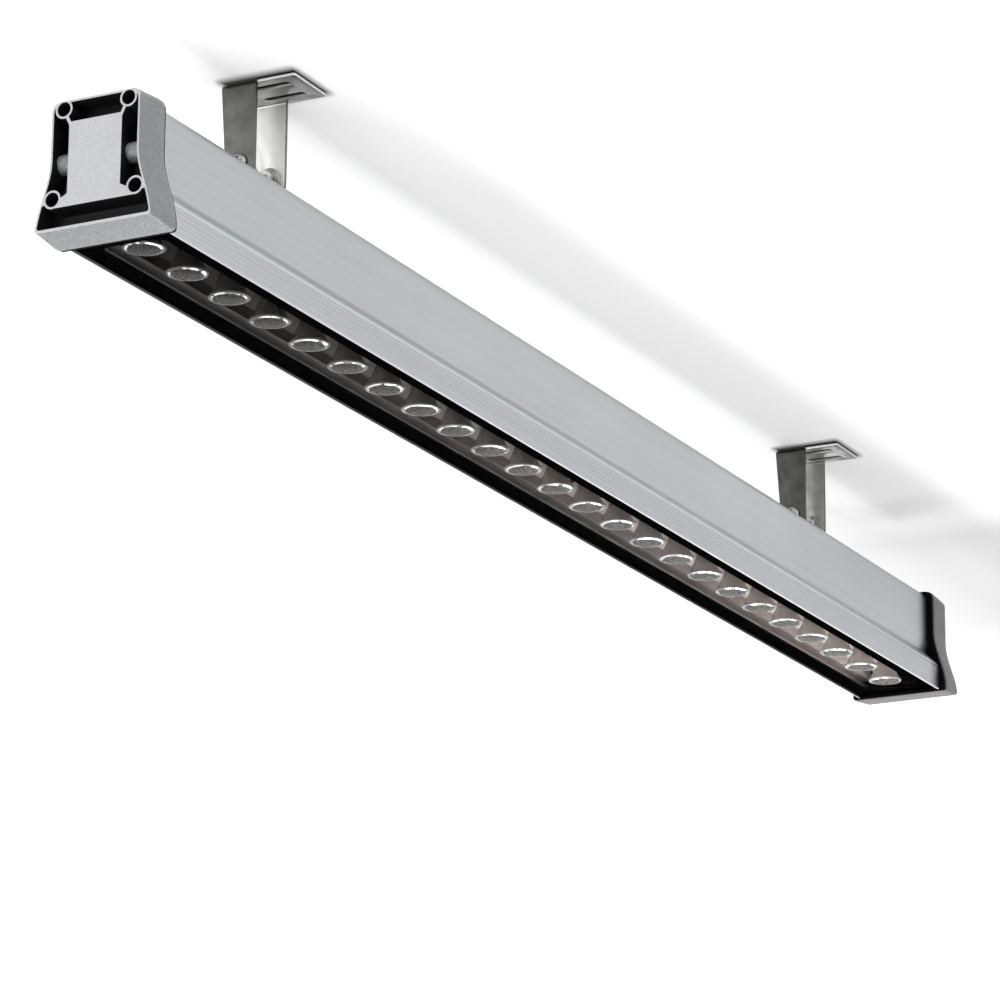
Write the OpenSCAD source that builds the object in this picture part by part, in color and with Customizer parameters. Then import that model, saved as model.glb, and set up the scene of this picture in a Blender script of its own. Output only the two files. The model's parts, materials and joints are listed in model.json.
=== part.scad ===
// Linear LED wall washer: an aluminium bar that hangs under two tilting U-brackets.
// Frame: millimetres, X along the bar, Z up, origin on the near bracket's mounting face.
// The bar's own shapes are drawn from its near end (x = 0), with z = 0 on top of the profile.

/* [Bar] */
// Overall length over the two end caps
lamp_l = 1000; // [800:20:1200]
// Spacing of the lenses along the bar
led_pitch = 39.5; // [36:0.5:46]
// Distance from the near end to the near bracket's centre
near_bracket_x = 147; // [100:1:200]
// Distance from the far end to the far bracket's centre
far_bracket_x = 175; // [100:1:200]

/* [Profile] */
// Height of the aluminium profile
body_h = 66; // [62:1:74]
// Width of its narrow upper part
top_w = 41; // [38:1:46]
// Width of its broad lower part
low_w = 56.5; // [53:0.5:60]
// Radius of the two top corners
corner_r = 6.2; // [5:0.2:7.4]
// Wall thickness
wall = 2; // [1.6:0.1:2.4]
// Height of the broad lower band
band_h = 14.5; // [12:0.5:17]
// Height of the flare between the narrow and the broad part
flare_h = 11.5; // [8:0.5:12]
// Height of the undercut above the flare
under_h = 3.5; // [2:0.5:5]
// Depth of the undercut
under_in = 0.7; // [0.3:0.1:1]
// Number of fine ribs on the broad band
rib_count = 5; // [3:1:6]
// Depth of the grooves between the ribs
rib_d = 0.2; // [0.1:0.05:0.5]
// Depth of the line groove over the ribs
line_d = 0.45; // [0.3:0.05:0.7]

/* [End caps] */
// Depth of a cast end cap
cap_d = 21; // [18:1:26]
// How far a cap's flange stands out from the narrow part of the profile
cap_out_top = 4.4; // [3:0.1:5]
// How far a cap's flange stands out from the broad part of the profile
cap_out_low = 4.4; // [4:0.1:8]
// Depth of the channel in the cap's face
cap_channel_d = 13; // [10:0.5:15]
// Thickness of the lip around the channel
cap_lip = 1.3; // [1:0.1:2]
// Thickness of a gasket
gasket_t = 2; // [1:0.25:3]

/* [Window] */
// Clear width of the window
window_w = 35; // [30:1:40]
// Thickness of the cover glass
glass_t = 3; // [2:0.5:4]
// Thickness of the black seal behind the glass
seal_t = 1.2; // [0.8:0.1:2]
// Width of the seal across each end of the window
seal_end = 9.5; // [6:0.5:11]

/* [Light engine] */
// Diameter of a lens
lens_d = 21; // [18:0.5:24]
// Height of a lens from its rim to the board
lens_h = 13; // [11:0.5:15]
// Thickness of a light-emitting board
board_t = 1.6; // [1:0.2:2]
// Width of a board
board_w = 34; // [30:1:36]

/* [Driver] */
// Length of the driver case
driver_l = 160; // [120:5:180]
// Width of the driver case
driver_w = 30; // [26:1:31]
// Height of the driver case
driver_h = 22; // [18:1:25]

/* [Brackets] */
// Height of the mounting face over the top of the profile
hang = 53.5; // [46:0.5:64]
// Width of a bracket along the bar
bracket_w = 32; // [27.5:0.5:36]
// Length of its foot plate across the bar
foot_l = 41.5; // [40:0.5:52]
// How far the foot plate reaches past the middle of the bar, on the short side
foot_back = 11; // [10:0.5:13]
// Thickness of the steel sheet
sheet_t = 2; // [1.5:0.25:2.5]
// Length of a mounting slot
slot_l = 24; // [16:1:26]
// Width of a mounting slot
slot_w = 5; // [4.2:0.2:6]
// Distance between the two mounting slots
slot_gap = 15; // [14:0.5:16]
// Height of the tilt axis over the top of the profile
pivot_h = 10.5; // [10:0.25:13]

/* [Hidden] */
$fn = 48;

// Clearances shared by all pieces
over = 1;
part_gap = 0.3;
thread_play = 0.05;
running_play = 0.1;
end_play = 0.4;

// Levels of the profile, measured down from its top
glass_recess = 1.2;
ledge_t = 1.5;
lens_gap = 0.9;
shelf_t = wall;
glass_low = body_h - glass_recess;
glass_top = glass_low - glass_t;
seal_top = glass_top - seal_t;
ledge_top = seal_top - ledge_t;
lens_low = glass_top - lens_gap;
board_low = lens_low - lens_h;
shelf_low = board_low - board_t;
shelf_top = shelf_low - shelf_t;
flare_low = body_h - band_h;
flare_top = flare_low - flare_h;

// Bottom lip of the profile
lip_t = 1.2;
lip_chamfer = 0.4;

// Channel for the sliding bolts in the top of the profile
bolt_r = 2.5;
bolt_head_af = 8;
bolt_head_h = 3.5;
slot_lip_t = 1.8;
slot_mouth_w = 2 * (bolt_r + part_gap);
slot_room_w = bolt_head_af + 2 * part_gap;
slot_floor = slot_lip_t + part_gap + bolt_head_h + end_play;
slot_block_w = slot_room_w + 2 * wall;
slot_block_h = slot_floor + wall;

// Screw ports for the end caps
cap_screw_r = 1.5;
port_r = 3.4;
port_top_in = 2.75;
port_top_down = 5.1;
port_low_in = 5.6;
port_low_down = 3.2;
port_top_y = top_w / 2 - port_top_in;
port_low_y = low_w / 2 - port_low_in;
port_low_z = shelf_low + port_low_down;
port_wall = 0.2;
chamber_top_y = port_low_y - port_r - port_wall;
ports = [
    [-port_top_y, -port_top_down], [port_top_y, -port_top_down],
    [-port_low_y, -port_low_z], [port_low_y, -port_low_z]
];

// Outline of a cap: flange first, then face
cap_up = 0.6;
cap_down = 0.9;
cap_top_r = 5;
cap_low_r = 2;
flange_t = 3;
flange_flare_low = 2;
flange_flare_h = 37;
face_in_top = 0.4;
face_in_low = 0.7;
face_drop = 1.3;
face_rise = 1.8;
face_top_r = 5;
face_flare_low = 0.3;
face_flare_h = 35.2;
face_edge = 0.4;
flange_half_top = top_w / 2 + cap_out_top;
flange_half_low = low_w / 2 + cap_out_low;
face_half_top = flange_half_top - face_in_top;
face_half_low = flange_half_low - face_in_low;
face_top = cap_up - face_drop;
face_low = -body_h - cap_down + face_rise;
outline_steps = 18;
corner_steps = 6;

// How far a gasket is drawn in from the flange
gasket_in_side = 0.8;
gasket_in_top = 0.3;
gasket_in_low = 0.1;

// Face of a cap: pad, bosses, webs and humps
cap_hole_r = 3.6;
cap_boss_r = 4.65;
cap_seat_t = 4;
cap_head_r = 3;
cap_head_h = 2.4;
cap_screw_l = 20;
pad_side_in = 10;
pad_drop = 11.2;
pad_up = 11.1;
pad_side_up = 17.6;
pad_y = face_half_top - pad_side_in;
pad_top = face_top - pad_drop;
pad_low = face_low + pad_up;
pad_side_low = face_low + pad_side_up;
pad_mid_z = (pad_top + pad_low) / 2;
web_w = 1.6;
hump_r = 5;
hump_d = 9;
hump_up = 3.5;
hump_z = pad_mid_z + hump_up;
hump_end_y = face_half_top - cap_lip / 2;
pad_wall = 5;
cap_hollow_r = 11;

// Bar layout
body_start = cap_d + gasket_t;
body_l = lamp_l - 2 * body_start;
bar_mid = lamp_l / 2;
board_gap = 0.5;
leds_per_board = floor((body_l - board_gap) / (2 * led_pitch));
board_l = leds_per_board * led_pitch - board_gap / 2;
glass_side_gap = 0.2;
glass_w = low_w - 2 * lip_t - 2 * glass_side_gap;
glass_l = body_l - 2 * part_gap;
window_corner_r = 8;

// Lens and light-emitting package
lens_rim_t = 1.6;
lens_face_d = 1.7;
lens_rim_w = 1.4;
lens_neck_share = 0.46;
lens_side_share = 0.93;
lens_foot_r = 1.2;
lens_feet = 3;
led_w = 3.5;
led_t = 0.8;
led_dome_r = 1.4;
led_room = 0.7;
led_pocket_r = led_w / sqrt(2) + led_room;
led_pocket_h = led_t + led_dome_r + led_room;

// Small screws
m3_r = 1.5;
m3_head_r = 2.8;
m3_head_h = 1.8;
m3_tip_gap = 0.2;
board_screw_y = board_w / 2 - 4;
board_screws_each = 4;
cross_w = 0.9;
cross_depth_share = 0.6;

// Wires
wire_r = 0.9;
wire_bend_r = 3;
solder_r = 1.8;
solder_h = 1.2;
link_y = 4;
link_reach = 7;
shelf_wire_r = wire_r + 2 * part_gap;
wire_hole_in = 4.5;

// Driver and terminal block in the upper chamber
driver_wall = 1.2;
driver_lug_l = 9;
driver_from_end = 58;
driver_pcb_t = 1.6;
driver_pcb_up = 3;
driver_side_gap = 0.5;
lid_t = 1.2;
lid_lap = 2;
transformer_l = 20;
transformer_w = 17;
transformer_h = 13;
core_t = 4;
winding_r = 6;
capacitor_r = 5;
capacitor_h = 14;
driver_post_r = 2;
terminal_l = 18;
terminal_h = 9;
terminal_pitch = 5.5;
terminal_poles = 3;
terminal_margin = 1.6;
terminal_hole_r = 1.7;
terminal_y = 4.5;
terminal_from_end = 45;
earth_from_end = 14;
earth_tag_r = 3.4;
earth_tag_t = 0.8;
earth_tab_w = 4;
output_wire_y = -6.5;
output_wire_gap = 5;

// Cable gland on the far cap
gland_thread_r = 6;
gland_bore_r = 3.8;
gland_af = 16;
gland_washer_t = 1;
gland_washer_r = 9;
gland_flange_t = 5;
gland_nut_t = 4;
gland_tail = 1.5;
gland_spigot_l = 8;
gland_seat_l = 7;
gland_seal_r = 4.7;
gland_cable_r = 3;
gland_seal_l = 8;
gland_cap_l = 13;
gland_cap_bevel = 2.5;
gland_mouth_r = 3.9;
gasket_cable_r = 9;

// Brackets
bend_r = 3;
foot_corner_r = 1.5;
ear_front = 8.5;
ear_back_low = 8;
ear_tail = 6;
ear_corner_r = 3;
pivot_r = 2;
pivot_head_r = 4.5;
pivot_head_h = 2.4;
pivot_nut_af = 7;
pivot_nut_t = 3.2;
pivot_tail = 0.8;
slot_mid_y = -11.5;
base_len = 20;
base_ear_r = 6.5;
base_washer_r = 5;
base_washer_t = 1;
base_nut_af = 8;
base_nut_t = 4;
base_tail = 1;
base_half = bracket_w / 2 - sheet_t - part_gap;
bracket_spacing = lamp_l - near_bracket_x - far_bracket_x;

// Colours
aluminium = [0.78, 0.79, 0.8];
cast_grey = [0.72, 0.73, 0.75];
steel = [0.66, 0.66, 0.64];
black_rubber = [0.05, 0.05, 0.055];
clear = [0.85, 0.88, 0.9, 0.45];
board_grey = [0.2, 0.2, 0.2];
brass_yellow = [0.8, 0.68, 0.35];

// Share of a smooth step: 0 above depth a, 1 below depth b
function step_share(d, a, b) = let(t = min(1, max(0, (d - a) / (b - a)))) t * t * (3 - 2 * t);

// Points of a quarter round about a centre, from one angle to another
function round_points(c, r, from, to, steps) =
    [for (i = [0 : steps]) let(a = from + (to - from) * i / steps) c + r * [cos(a), sin(a)]];

function mirror_points(points) = [for (i = [len(points) - 1 : -1 : 0]) [-points[i][0], points[i][1]]];

// Outline of a cap at one depth, widening smoothly between the depths a and b
function cap_outline(half_top, half_low, top, low, r_top, r_low, a, b) =
    let(side = [for (i = [1 : outline_steps - 1])
            let(z = top - r_top + (low + r_low - top + r_top) * i / outline_steps)
            [half_top + (half_low - half_top) * step_share(-z, a, b), z]],
        right = concat(
            round_points([half_low - r_low, low + r_low], r_low, -90, 0, corner_steps),
            [for (i = [len(side) - 1 : -1 : 0]) side[i]],
            round_points([half_top - r_top, top - r_top], r_top, 0, 90, corner_steps)))
    concat(right, mirror_points(right));

function flange_outline(in_side, in_top, in_low) = cap_outline(
    flange_half_top - in_side, flange_half_low - in_side, cap_up - in_top, -body_h - cap_down + in_low,
    cap_top_r - in_side / 2, cap_low_r - in_side / 2,
    body_h - flange_flare_low - flange_flare_h, body_h - flange_flare_low);

function face_outline(inset) = cap_outline(
    face_half_top - inset, face_half_low - inset, face_top - inset, face_low + inset,
    face_top_r - inset / 2, cap_low_r - inset / 2,
    body_h - face_flare_low - face_flare_h, body_h - face_flare_low);

// A solid through rings of points, each ring at its own x
module ring_solid(rings, xs) {
    n = len(rings[0]);
    last = len(rings) - 1;
    polyhedron(
        points = [for (k = [0 : last]) for (p = rings[k]) [xs[k], p[0], p[1]]],
        faces = concat(
            [[for (i = [0 : n - 1]) i]],
            [for (k = [0 : last - 1]) for (i = [0 : n - 1])
                [k * n + i, (k + 1) * n + i, (k + 1) * n + (i + 1) % n, k * n + (i + 1) % n]],
            [[for (i = [n - 1 : -1 : 0]) last * n + i]]));
}

// Drawn in the (y, z) plane and pushed along x
module along_x(x, length) {
    translate([x, 0, 0])
        rotate([90, 0, 90])
            linear_extrude(length)
                children();
}

// A round bar along x
module rod_x(x, length, r) {
    translate([x, 0, 0])
        rotate([0, 90, 0])
            cylinder(h = length, r = r);
}

module hex_x(x, length, af) {
    translate([x, 0, 0])
        rotate([0, 90, 0])
            cylinder(h = length, r = af / sqrt(3), $fn = 6);
}

// Places bar shapes in the part's frame
module bar() {
    translate([-near_bracket_x, 0, -hang])
        children();
}

// Places a bracket's shapes, drawn about its own middle with z = 0 on its mounting face
module bracket_at(x) {
    translate([x, 0, 0])
        children();
}

// Outer shape of the profile's right half: chamfer, grooved band, flare, undercut and top corner
function profile_right() =
    let(broad = low_w / 2, narrow = top_w / 2, rib_pitch = (band_h - lip_chamfer) / (rib_count + 1))
    concat(
        [[broad - lip_chamfer, -body_h], [broad, -body_h + lip_chamfer]],
        [for (i = [1 : rib_count + 1]) for (k = [-1 : 1])
            let(deep = i > rib_count ? line_d : rib_d)
            [broad - (k == 0 ? deep : 0), -body_h + lip_chamfer + rib_pitch * i + (k - 1) * deep]],
        [for (i = [0 : outline_steps])
            let(d = flare_low - flare_h * i / outline_steps)
            [narrow - under_in + (broad - narrow + under_in) * step_share(d, flare_top, flare_low), -d]],
        [[narrow, -flare_top + under_h]],
        round_points([narrow - corner_r, -corner_r], corner_r, 0, 90, corner_steps * 2));

module profile_outer() {
    polygon(concat(profile_right(), mirror_points(profile_right())));
}

// A band across the profile, from one depth down to another
module band(half, from, to) {
    translate([-half, -to])
        square([2 * half, to - from]);
}

module upper_chamber() {
    difference() {
        union() {
            band(top_w / 2 - wall, corner_r, shelf_top);
            band(top_w / 2 - corner_r, wall, corner_r + over);
            for (side = [-1, 1])
                translate([side * (top_w / 2 - corner_r), -corner_r])
                    circle(r = corner_r - wall);
        }
        band(slot_block_w / 2, 0, slot_block_h);
        for (p = [ports[0], ports[1]])
            translate(p)
                circle(r = port_r);
    }
}

module profile() {
    difference() {
        profile_outer();
        upper_chamber();
        band(slot_mouth_w / 2, -over, slot_lip_t + over);
        band(slot_room_w / 2, slot_lip_t, slot_floor);
        band(chamber_top_y, shelf_low, port_low_z + port_r);
        band(low_w / 2 - wall, port_low_z + port_r, ledge_top);
        band(window_w / 2, ledge_top - over, seal_top + over);
        band(low_w / 2 - lip_t, seal_top, body_h + over);
        for (p = ports)
            translate(p)
                circle(r = cap_screw_r + thread_play);
    }
}

// Where the board screws stand: between lenses, along one edge of each board
function led_x(i) = bar_mid + (i - leds_per_board + 0.5) * led_pitch;
board_screw_steps = [for (k = [0 : board_screws_each - 1]) round((k + 0.5) * leds_per_board / board_screws_each)];
board_screw_xs = [for (b = [0, 1]) for (s = board_screw_steps) led_x(b * leds_per_board + s) - led_pitch / 2];
wire_hole_x = bar_mid + board_gap / 2 + board_l - wire_hole_in;
output_wire_ys = [output_wire_y, output_wire_y - output_wire_gap];
driver_end = lamp_l - body_start - driver_from_end;
driver_start = driver_end - driver_l;
driver_lug_xs = [driver_start - driver_lug_l / 2, driver_end + driver_lug_l / 2];
terminal_start = lamp_l - body_start - terminal_from_end;
earth_x = lamp_l - body_start - earth_from_end;
earth_y = terminal_y + terminal_pitch;

module shelf_hole(x, y, r) {
    translate([x, y, -shelf_low - over])
        cylinder(h = shelf_t + 2 * over, r = r);
}

module housing() {
    color(aluminium)
        difference() {
            along_x(body_start, body_l)
                profile();
            for (x = board_screw_xs)
                shelf_hole(x, -board_screw_y, m3_r + thread_play);
            for (x = driver_lug_xs)
                shelf_hole(x, 0, m3_r + thread_play);
            shelf_hole(earth_x, earth_y, m3_r + thread_play);
            for (y = output_wire_ys)
                shelf_hole(wire_hole_x, y, shelf_wire_r);
        }
}

// The channel in a cap's face, drawn flat
module cap_channel() {
    difference() {
        polygon(face_outline(cap_lip));
        polygon([
            [-pad_y, pad_top], [pad_y, pad_top], [pad_y, pad_side_low],
            [port_low_y, -port_low_z - cap_boss_r / 2], [port_low_y, pad_low],
            [-port_low_y, pad_low], [-port_low_y, -port_low_z - cap_boss_r / 2],
            [-pad_y, pad_side_low]]);
        for (p = ports)
            translate(p)
                circle(r = cap_boss_r);
        for (side = [-1, 1]) {
            web = [side * (port_top_y - pad_y), -port_top_down - pad_top];
            translate([side * pad_y, pad_top])
                rotate(atan2(web[1], web[0]))
                    translate([-web_w, -web_w / 2])
                        square([norm(web) + web_w, web_w]);
            translate([side * (port_low_y + cap_boss_r), -port_low_z])
                square(cap_boss_r, center = true);
        }
    }
}

// The solid cap: lofted from face to flange, then cut flat at both ends
module cap_shell() {
    edge = face_outline(face_edge);
    flange = flange_outline(0, 0, 0);
    intersection() {
        ring_solid(
            [edge, edge, face_outline(0), flange, flange],
            [-over, 0, face_edge, cap_d - flange_t, cap_d + over]);
        translate([0, -2 * flange_half_low, -2 * body_h])
            cube([cap_d, 4 * flange_half_low, 4 * body_h]);
    }
}

module cap(entry) {
    difference() {
        union() {
            difference() {
                cap_shell();
                along_x(-over, cap_channel_d + over)
                    cap_channel();
            }
            for (side = [-1, 1])
                translate([hump_d, side * (pad_y + hump_end_y) / 2, hump_z])
                    rotate([90, 0, 0])
                        cylinder(h = hump_end_y - pad_y, r = hump_r, center = true);
        }
        for (p = ports)
            translate([0, p[0], p[1]]) {
                rod_x(-over, cap_d - cap_seat_t + over, cap_hole_r);
                rod_x(cap_d / 2, cap_d, cap_screw_r + part_gap);
            }
        translate([0, 0, pad_mid_z]) {
            rod_x(pad_wall, cap_d, cap_hollow_r);
            if (entry)
                rod_x(-over, cap_d, gland_thread_r + running_play);
        }
    }
}

module at_near_end() {
    bar()
        children();
}

module at_far_end() {
    bar()
        translate([lamp_l, 0, 0])
            mirror([1, 0, 0])
                children();
}

module cap_gasket(entry) {
    difference() {
        along_x(cap_d, gasket_t)
            polygon(flange_outline(gasket_in_side, gasket_in_top, gasket_in_low));
        for (p = ports)
            translate([0, p[0], p[1]])
                rod_x(cap_d - over, gasket_t + 2 * over, cap_screw_r + part_gap);
        if (entry)
            translate([0, 0, pad_mid_z])
                rod_x(cap_d - over, gasket_t + 2 * over, gasket_cable_r);
    }
}

// Cross slot of a screw head, cut down from z = 0
module cross_slot(r, depth) {
    for (a = [0, 90])
        rotate(a)
            translate([-r * cross_depth_share, -cross_w / 2, -depth])
                cube([2 * r * cross_depth_share, cross_w, depth + over]);
}

// A pan-head screw: head above z = 0, shank below
module screw(head_r, head_h, shank_r, shank_l) {
    edge = head_h / 3;
    difference() {
        union() {
            rotate_extrude()
                polygon(concat(
                    [[0, 0], [head_r, 0], [head_r, head_h - 2 * edge]],
                    round_points([head_r - 2 * edge, head_h - 2 * edge], 2 * edge, 0, 90, corner_steps),
                    [[0, head_h]]));
            translate([0, 0, -shank_l])
                cylinder(h = shank_l + edge, r = shank_r);
        }
        translate([0, 0, head_h])
            cross_slot(head_r, head_h * cross_depth_share);
    }
}

module cap_screws() {
    for (p = ports)
        translate([cap_d - cap_seat_t, p[0], p[1]])
            rotate([0, -90, 0])
                screw(cap_head_r, cap_head_h, cap_screw_r, cap_screw_l);
}

// A slab with rounded corners, standing on z = 0
module rounded_slab(length, width, height, r) {
    translate([-length / 2, -width / 2 + r, 0])
        cube([length, width - 2 * r, height]);
    translate([-length / 2 + r, -width / 2, 0])
        cube([length - 2 * r, width, height]);
    for (x = [-1, 1])
        for (y = [-1, 1])
            translate([x * (length / 2 - r), y * (width / 2 - r), 0])
                cylinder(h = height, r = r);
}

module cover_glass() {
    color(clear)
        translate([bar_mid - glass_l / 2, -glass_w / 2, -glass_low])
            cube([glass_l, glass_w, glass_t]);
}

module glass_seal() {
    color(black_rubber)
        difference() {
            translate([bar_mid - glass_l / 2, -glass_w / 2, -glass_top])
                cube([glass_l, glass_w, seal_t]);
            translate([bar_mid, 0, -glass_top - over])
                rounded_slab(glass_l - 2 * seal_end, window_w, seal_t + 2 * over, window_corner_r);
        }
}

module led_board(side) {
    start = side < 0 ? bar_mid - board_gap / 2 - board_l : bar_mid + board_gap / 2;
    color(board_grey)
        difference() {
            translate([start, -board_w / 2, -board_low])
                cube([board_l, board_w, board_t]);
            for (x = board_screw_xs)
                translate([x, -board_screw_y, -board_low - over])
                    cylinder(h = board_t + 2 * over, r = m3_r + running_play);
            for (y = output_wire_ys)
                translate([wire_hole_x, y, -board_low - over])
                    cylinder(h = board_t + 2 * over, r = wire_r + running_play);
        }
}

module led_package() {
    translate([-led_w / 2, -led_w / 2, -led_t])
        cube([led_w, led_w, led_t]);
    translate([0, 0, -led_t])
        difference() {
            sphere(r = led_dome_r);
            cylinder(h = 2 * led_dome_r, r = 2 * led_dome_r);
        }
}

// A collimator lens, hanging from z = 0 with its round face at the bottom
module lens() {
    r = lens_d / 2;
    neck = r * lens_neck_share;
    difference() {
        union() {
            rotate_extrude()
                polygon([
                    [0, 0], [neck, 0], [r * lens_side_share, -lens_h + lens_rim_t],
                    [r, -lens_h + lens_rim_t], [r, -lens_h], [r - lens_rim_w, -lens_h],
                    [r - lens_rim_w - lens_face_d, -lens_h + lens_face_d], [0, -lens_h + lens_face_d]]);
            for (i = [0 : lens_feet - 1])
                rotate(90 + i * 360 / lens_feet)
                    translate([r - lens_foot_r - part_gap, 0, -lens_h + lens_rim_t / 2])
                        cylinder(h = lens_h - lens_rim_t / 2, r = lens_foot_r);
        }
        translate([0, 0, -led_pocket_h])
            cylinder(h = led_pocket_h + over, r = led_pocket_r);
    }
}

module along_board(side) {
    for (i = [0 : leds_per_board - 1])
        translate([led_x(side < 0 ? i : i + leds_per_board), 0, -board_low])
            children();
}

module board_screws() {
    color(steel)
        for (x = board_screw_xs)
            translate([x, -board_screw_y, -board_low])
                rotate([180, 0, 0])
                    screw(m3_head_r, m3_head_h, m3_r, board_t + shelf_t - m3_tip_gap);
}

module board_link_leads() {
    color("firebrick")
        for (y = [-link_y, link_y]) {
            translate([0, y, -board_low - solder_h])
                rod_x(bar_mid - link_reach, 2 * link_reach, wire_r);
            for (x = [-link_reach, link_reach])
                translate([bar_mid + x, y, -board_low - solder_h])
                    cylinder(h = solder_h, r = solder_r);
        }
}

// Driver, standing on the shelf
module on_shelf(x) {
    translate([x, 0, -shelf_top])
        children();
}

// A box in the driver's outline, drawn in from its walls
module driver_box(inset, from_z, to_z) {
    translate([inset, inset - driver_w / 2, from_z])
        cube([driver_l - 2 * inset, driver_w - 2 * inset, to_z - from_z]);
}

module driver_case() {
    color("gainsboro")
        difference() {
            union() {
                on_shelf(driver_start)
                    difference() {
                        driver_box(0, 0, driver_h - lid_t);
                        driver_box(driver_wall, driver_wall, driver_h);
                    }
                for (x = [driver_l / 4, driver_l * 3 / 4])
                    on_shelf(driver_start + x)
                        cylinder(h = driver_pcb_up, r = driver_post_r);
                for (x = driver_lug_xs)
                    on_shelf(x)
                        translate([-driver_lug_l / 2, -driver_lug_l / 2, 0])
                            cube([driver_lug_l, driver_lug_l, driver_wall]);
            }
            for (x = driver_lug_xs)
                on_shelf(x)
                    translate([0, 0, -over])
                        cylinder(h = driver_wall + 2 * over, r = m3_r + running_play);
        }
}

module driver_lid() {
    color("silver")
        on_shelf(driver_start) {
            driver_box(0, driver_h - lid_t, driver_h);
            difference() {
                driver_box(driver_wall + part_gap, driver_h - lid_t - lid_lap, driver_h - lid_t);
                driver_box(2 * driver_wall + part_gap, 0, driver_h);
            }
        }
}

driver_pcb_top = driver_pcb_up + driver_pcb_t;

module driver_board() {
    color("darkgreen")
        on_shelf(driver_start)
            driver_box(driver_wall + driver_side_gap, driver_pcb_up, driver_pcb_top);
}

module driver_transformer() {
    color("khaki")
        on_shelf(driver_start + driver_l / 2)
            translate([0, 0, driver_pcb_top]) {
                for (x = [-transformer_l / 2, transformer_l / 2 - core_t])
                    translate([x, -transformer_w / 2, 0])
                        cube([core_t, transformer_w, transformer_h]);
                translate([-transformer_l / 2, 0, transformer_h / 2])
                    rotate([0, 90, 0])
                        cylinder(h = transformer_l, r = winding_r);
            }
}

module driver_capacitors() {
    color("midnightblue")
        for (i = [0, 1])
            on_shelf(driver_start + driver_l / 4 + i * driver_l / 2)
                translate([0, 0, driver_pcb_top])
                    cylinder(h = capacitor_h, r = capacitor_r);
}

module driver_screws() {
    color(steel)
        for (x = driver_lug_xs)
            on_shelf(x)
                translate([0, 0, driver_wall])
                    screw(m3_head_r, m3_head_h, m3_r, driver_wall + shelf_t - m3_tip_gap);
}

module driver_output_leads() {
    color("firebrick")
        for (y = output_wire_ys)
            translate([0, y, -shelf_top]) {
                translate([0, 0, wire_bend_r])
                    rod_x(driver_end, wire_hole_x - wire_bend_r - driver_end, wire_r);
                translate([wire_hole_x - wire_bend_r, 0, 0])
                    rotate([90, 0, 0])
                        rotate_extrude(angle = 90)
                            translate([wire_bend_r, 0])
                                circle(r = wire_r);
                translate([wire_hole_x, 0, -shelf_t - board_t])
                    cylinder(h = shelf_t + board_t, r = wire_r);
                translate([wire_hole_x, 0, -shelf_t - board_t - solder_h])
                    cylinder(h = solder_h, r = solder_r);
            }
}

module terminal_block() {
    w = terminal_poles * terminal_pitch + terminal_margin;
    color("ivory")
        on_shelf(terminal_start)
            difference() {
                translate([0, terminal_y - w / 2, 0])
                    cube([terminal_l, w, terminal_h]);
                for (i = [-1 : 1])
                    translate([0, terminal_y + i * terminal_pitch, terminal_h / 2]) {
                        rod_x(-over, terminal_l + 2 * over, terminal_hole_r);
                        for (x = [terminal_l / 4, terminal_l * 3 / 4])
                            translate([x, 0, 0])
                                cylinder(h = terminal_h, r = terminal_hole_r);
                    }
            }
}

module driver_input_leads() {
    color("royalblue")
        for (i = [-1 : 0])
            on_shelf(0)
                translate([0, terminal_y + i * terminal_pitch, terminal_h / 2])
                    rod_x(driver_end, terminal_start + terminal_l / 3 - driver_end, wire_r);
}

// Earth wire on a bent ring tag
module earth_lead() {
    tab_x = earth_x - earth_tag_r - earth_tag_t;
    wire_x = terminal_start + terminal_l * 2 / 3;
    color("yellowgreen")
        on_shelf(0)
            translate([0, earth_y, 0])
                difference() {
                    union() {
                        translate([earth_x, 0, 0])
                            cylinder(h = earth_tag_t, r = earth_tag_r);
                        translate([tab_x, -earth_tab_w / 2, 0])
                            cube([earth_tag_r, earth_tab_w, earth_tag_t]);
                        translate([tab_x, -earth_tab_w / 2, 0])
                            cube([earth_tag_t, earth_tab_w, terminal_h]);
                        translate([0, 0, terminal_h / 2])
                            rod_x(wire_x, tab_x - wire_x, wire_r);
                    }
                    translate([earth_x, 0, -over])
                        cylinder(h = earth_tag_t + 2 * over, r = m3_r + running_play);
                }
}

module earth_screw() {
    color(brass_yellow)
        on_shelf(earth_x)
            translate([0, earth_y, earth_tag_t])
                screw(m3_head_r, m3_head_h, m3_r, earth_tag_t + shelf_t - m3_tip_gap);
}

// Cable gland: drawn with x = 0 on the pad's face, pointing outwards to -x of the mirrored end
module at_gland() {
    at_far_end()
        translate([0, 0, pad_mid_z])
            mirror([1, 0, 0])
                children();
}

module gland_body() {
    tail = pad_wall + gland_nut_t + gland_tail;
    flange_end = gland_washer_t + gland_flange_t;
    color("silver")
        difference() {
            union() {
                rod_x(-tail, tail + flange_end, gland_thread_r);
                hex_x(gland_washer_t, gland_flange_t, gland_af);
                rod_x(flange_end - over, gland_spigot_l + over, gland_thread_r + thread_play);
            }
            rod_x(-tail - over, tail + flange_end + gland_spigot_l + 2 * over, gland_bore_r);
            rod_x(flange_end + gland_spigot_l - gland_seat_l, gland_seat_l + over, gland_seal_r + thread_play);
        }
}

module gland_washer() {
    color(black_rubber)
        difference() {
            rod_x(0, gland_washer_t, gland_washer_r);
            rod_x(-over, gland_washer_t + 2 * over, gland_thread_r + thread_play);
        }
}

module gland_lock_nut() {
    color("silver")
        difference() {
            hex_x(-pad_wall - gland_nut_t, gland_nut_t, gland_af);
            rod_x(-pad_wall - gland_nut_t - over, gland_nut_t + 2 * over, gland_thread_r + thread_play);
        }
}

gland_seal_start = gland_washer_t + gland_flange_t + gland_spigot_l - gland_seat_l;

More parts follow.
